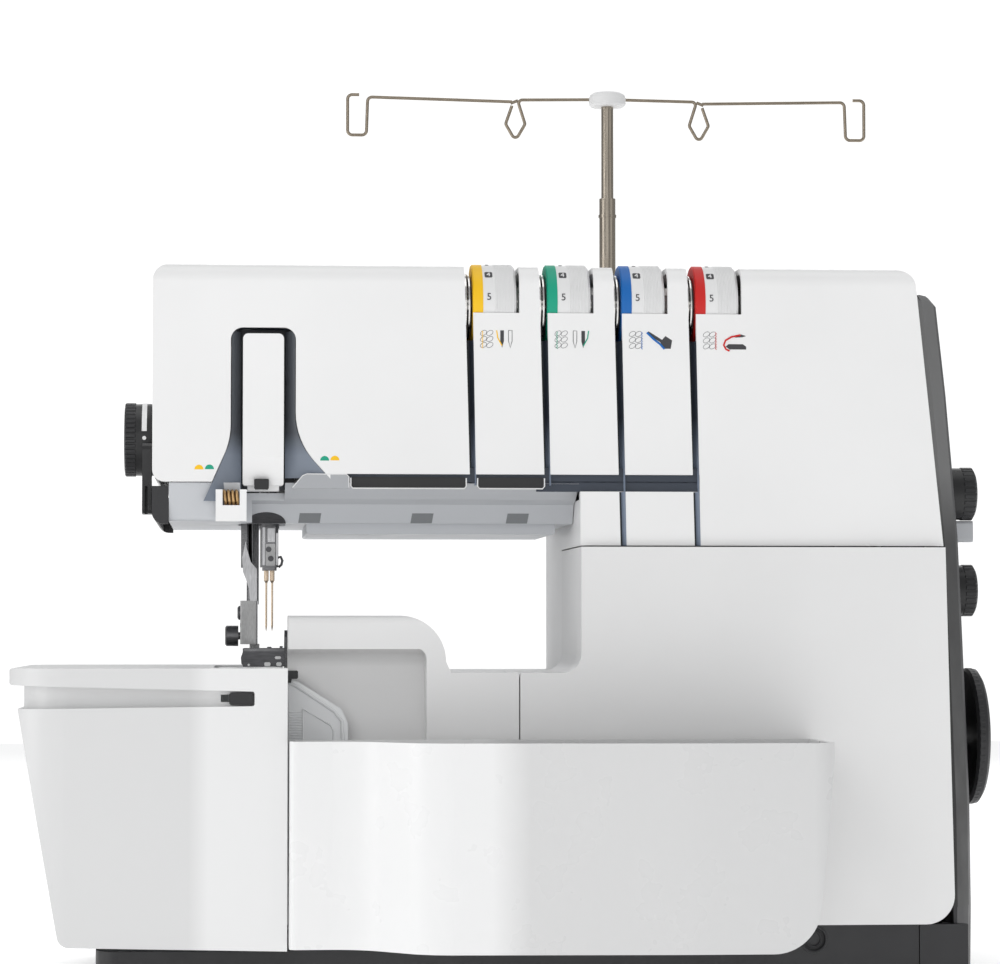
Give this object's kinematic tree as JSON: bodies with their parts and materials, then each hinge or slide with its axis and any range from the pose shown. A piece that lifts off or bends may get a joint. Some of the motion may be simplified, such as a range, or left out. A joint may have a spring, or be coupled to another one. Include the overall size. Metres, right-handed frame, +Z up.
{
  "type": "serger overlock machine",
  "caption": "White overlock sewing machine with a free arm table, front waste tray, tension dials and a telescopic thread stand.",
  "frame": {"origin": "middle of the bounding box on the surface the machine stands on", "axes": "+X to the machine's right (handwheel end), -Y to the operator, +Z up"},
  "size_m": [0.416, 0.28, 0.399],
  "materials": {
    "white_shell": "satin",
    "panel_white": "satin",
    "tray_white": "satin",
    "under_grey": "satin",
    "slate": "satin",
    "dark_plastic": "satin",
    "black_plastic": "satin",
    "clear_white": "gloss",
    "dial_white": "satin",
    "rubber": "matte",
    "cast_alloy": "cast",
    "steel": "brushed",
    "bright_steel": "polished",
    "dark_steel": "brushed",
    "pole_metal": "brushed",
    "bronze": "turned"
  },
  "bodies": {
    "machine": {"base_frame": "dark_plastic", "rubber_feet": "rubber", "chassis_casting": "cast_alloy", "front_upper_cover": "white_shell", "rear_cover": "white_shell", "front_lower_panel": "panel_white", "right_end_cover": "dark_plastic", "left_corner_trim": "dark_plastic", "arm_under_panel": "under_grey", "thread_path_liner": "slate", "take_up_cover": "white_shell", "needle_thread_guide": "white_shell", "thread_cutter": "black_plastic", "needle_plate": "steel", "lower_knife": "dark_steel", "plain_bearings": "bronze", "pivot_pins": "bright_steel", "cover_screws": "bright_steel", "power_inlet": "black_plastic", "spool_stand": "dark_plastic", "spool_pins": "bright_steel", "spool_cushions": "white_shell", "pole_base_tube": "pole_metal", "motor_body": "dark_steel", "drive_belt": "rubber", "tension_units": "bright_steel"},
    "handwheel_shaft": {"handwheel": "dark_plastic", "main_shaft": "steel"},
    "motor_spindle": {"motor_rotor": "steel"},
    "dial_yellow": {"tension_dial_yellow": "dial_white"},
    "dial_green": {"tension_dial_green": "dial_white"},
    "dial_blue": {"tension_dial_blue": "dial_white"},
    "dial_red": {"tension_dial_red": "dial_white"},
    "foot_pressure_knob": {"pressure_dial": "black_plastic"},
    "differential_knob": {"differential_dial": "black_plastic"},
    "stitch_length_knob": {"stitch_length_dial": "black_plastic"},
    "tab_lever": {"side_lever": "under_grey"},
    "rocker_switch": {"power_switch": "black_plastic"},
    "needle_bar_set": {"needle_bar": "bright_steel", "needle_clamp": "bright_steel", "needles": "bright_steel"},
    "presser_bar_set": {"presser_bar": "steel", "foot_shank": "steel", "foot_screws": "dark_steel"},
    "foot": {"presser_foot": "dark_steel"},
    "foot_lifter": {"presser_lifter": "dark_plastic"},
    "take_up": {"take_up_lever": "dark_steel"},
    "moving_knife": {"upper_knife": "dark_steel"},
    "looper_low": {"lower_looper": "bright_steel"},
    "looper_high": {"upper_looper": "bright_steel"},
    "feed": {"feed_dog": "steel"},
    "tray": {"waste_tray": "tray_white"},
    "front_door": {"looper_cover": "panel_white", "chute_insert": "clear_white"},
    "table": {"extension_table": "white_shell"},
    "latch": {"table_latch": "black_plastic"},
    "tree_middle": {"pole_middle": "pole_metal"},
    "tree_rod": {"pole_top": "pole_metal"},
    "tree_head": {"guide_disc": "dial_white", "guide_wires": "bright_steel"}
  },
  "joints": [
    {"name": "main_shaft_turn", "type": "hinge", "parent": "machine", "child": "handwheel_shaft", "pos_m": [0.1035, -0.008, 0.1], "axis": [1, 0, 0], "continuous": true},
    {"name": "motor_turn", "type": "hinge", "parent": "machine", "child": "motor_spindle", "pos_m": [0.1435, 0.03, 0.052], "axis": [1, 0, 0], "continuous": true},
    {"name": "dial_yellow_turn", "type": "hinge", "parent": "machine", "child": "dial_yellow", "pos_m": [-0.0095, -0.0594, 0.2812], "axis": [1, 0, 0], "range_deg": [-120, 150]},
    {"name": "dial_green_turn", "type": "hinge", "parent": "machine", "child": "dial_green", "pos_m": [0.0214, -0.0594, 0.2812], "axis": [1, 0, 0], "range_deg": [-120, 150]},
    {"name": "dial_blue_turn", "type": "hinge", "parent": "machine", "child": "dial_blue", "pos_m": [0.0523, -0.0594, 0.2812], "axis": [1, 0, 0], "range_deg": [-120, 150]},
    {"name": "dial_red_turn", "type": "hinge", "parent": "machine", "child": "dial_red", "pos_m": [0.0832, -0.0594, 0.2812], "axis": [1, 0, 0], "range_deg": [-120, 150]},
    {"name": "foot_pressure_turn", "type": "hinge", "parent": "machine", "child": "foot_pressure_knob", "pos_m": [-0.1565, -0.02, 0.227], "axis": [1, 0, 0], "range_deg": [-135, 135]},
    {"name": "differential_turn", "type": "hinge", "parent": "machine", "child": "differential_knob", "pos_m": [0.2015, -0.01, 0.2054], "axis": [1, 0, 0], "range_deg": [-60, 120]},
    {"name": "stitch_length_turn", "type": "hinge", "parent": "machine", "child": "stitch_length_knob", "pos_m": [0.2015, -0.01, 0.1633], "axis": [1, 0, 0], "range_deg": [-100, 150]},
    {"name": "tab_lever_tip", "type": "hinge", "parent": "machine", "child": "tab_lever", "pos_m": [0.1855, -0.01, 0.189], "axis": [0, 1, 0], "range_deg": [0, 11]},
    {"name": "rocker_switch_tip", "type": "hinge", "parent": "machine", "child": "rocker_switch", "pos_m": [0.1975, 0.053, 0.069], "axis": [0, 1, 0], "range_deg": [-5, 5]},
    {"name": "needle_bar_stroke", "type": "slide", "parent": "machine", "child": "needle_bar_set", "axis": [0, 0, 1], "range_m": [-0.024, 0.002]},
    {"name": "presser_bar_lift", "type": "slide", "parent": "machine", "child": "presser_bar_set", "axis": [0, 0, 1], "range_m": [0, 0.006]},
    {"name": "foot_tip", "type": "hinge", "parent": "presser_bar_set", "child": "foot", "pos_m": [-0.109, -0.015, 0.1364], "axis": [1, 0, 0], "range_deg": [-8, 0]},
    {"name": "foot_lifter_turn", "type": "hinge", "parent": "machine", "child": "foot_lifter", "pos_m": [-0.1165, 0.061, 0.224], "axis": [1, 0, 0], "range_deg": [0, 34]},
    {"name": "take_up_rock", "type": "hinge", "parent": "machine", "child": "take_up", "pos_m": [-0.1035, -0.048, 0.238], "axis": [1, 0, 0], "range_deg": [-9, 9]},
    {"name": "knife_rock", "type": "hinge", "parent": "machine", "child": "moving_knife", "pos_m": [-0.0945, 0, 0.112], "axis": [1, 0, 0], "range_deg": [-4, 4]},
    {"name": "lower_looper_rock", "type": "hinge", "parent": "machine", "child": "looper_low", "pos_m": [-0.0565, -0.036, 0.05], "axis": [0, 1, 0], "range_deg": [0, 16]},
    {"name": "upper_looper_rock", "type": "hinge", "parent": "machine", "child": "looper_high", "pos_m": [-0.0325, -0.046, 0.06], "axis": [0, 1, 0], "range_deg": [0, 8]},
    {"name": "feed_stroke", "type": "slide", "parent": "machine", "child": "feed", "axis": [0, 1, 0], "range_m": [-0.002, 0.002]},
    {"name": "tray_pull", "type": "slide", "parent": "machine", "child": "tray", "axis": [0, -1, 0], "range_m": [0, 0.16]},
    {"name": "front_door_open", "type": "hinge", "parent": "machine", "child": "front_door", "pos_m": [-0.0465, -0.079, 0.028], "axis": [1, 0, 0], "range_deg": [0, 50]},
    {"name": "table_pull", "type": "slide", "parent": "machine", "child": "table", "axis": [-1, 0, 0], "range_m": [0, 0.12]},
    {"name": "latch_slide", "type": "slide", "parent": "table", "child": "latch", "axis": [-1, 0, 0], "range_m": [0, 0.006]},
    {"name": "tree_middle_slide", "type": "slide", "parent": "machine", "child": "tree_middle", "axis": [0, 0, 1], "range_m": [-0.12, 0]},
    {"name": "tree_rod_slide", "type": "slide", "parent": "tree_middle", "child": "tree_rod", "axis": [0, 0, 1], "range_m": [-0.04, 0]},
    {"name": "tree_head_swivel", "type": "hinge", "parent": "tree_rod", "child": "tree_head", "pos_m": [0.0582, 0.114, 0.395], "axis": [0, 0, 1], "range_deg": [-13, 13]}
  ],
  "couplings": [
    {"joint": "motor_turn", "follows": "main_shaft_turn", "ratio": 2.75},
    {"joint": "foot_lifter_turn", "follows": "presser_bar_lift", "rad_per_m": 98.9},
    {"joint": "front_door_open", "follows": "tray_pull", "rad_per_m": 5.4537}
  ]
}
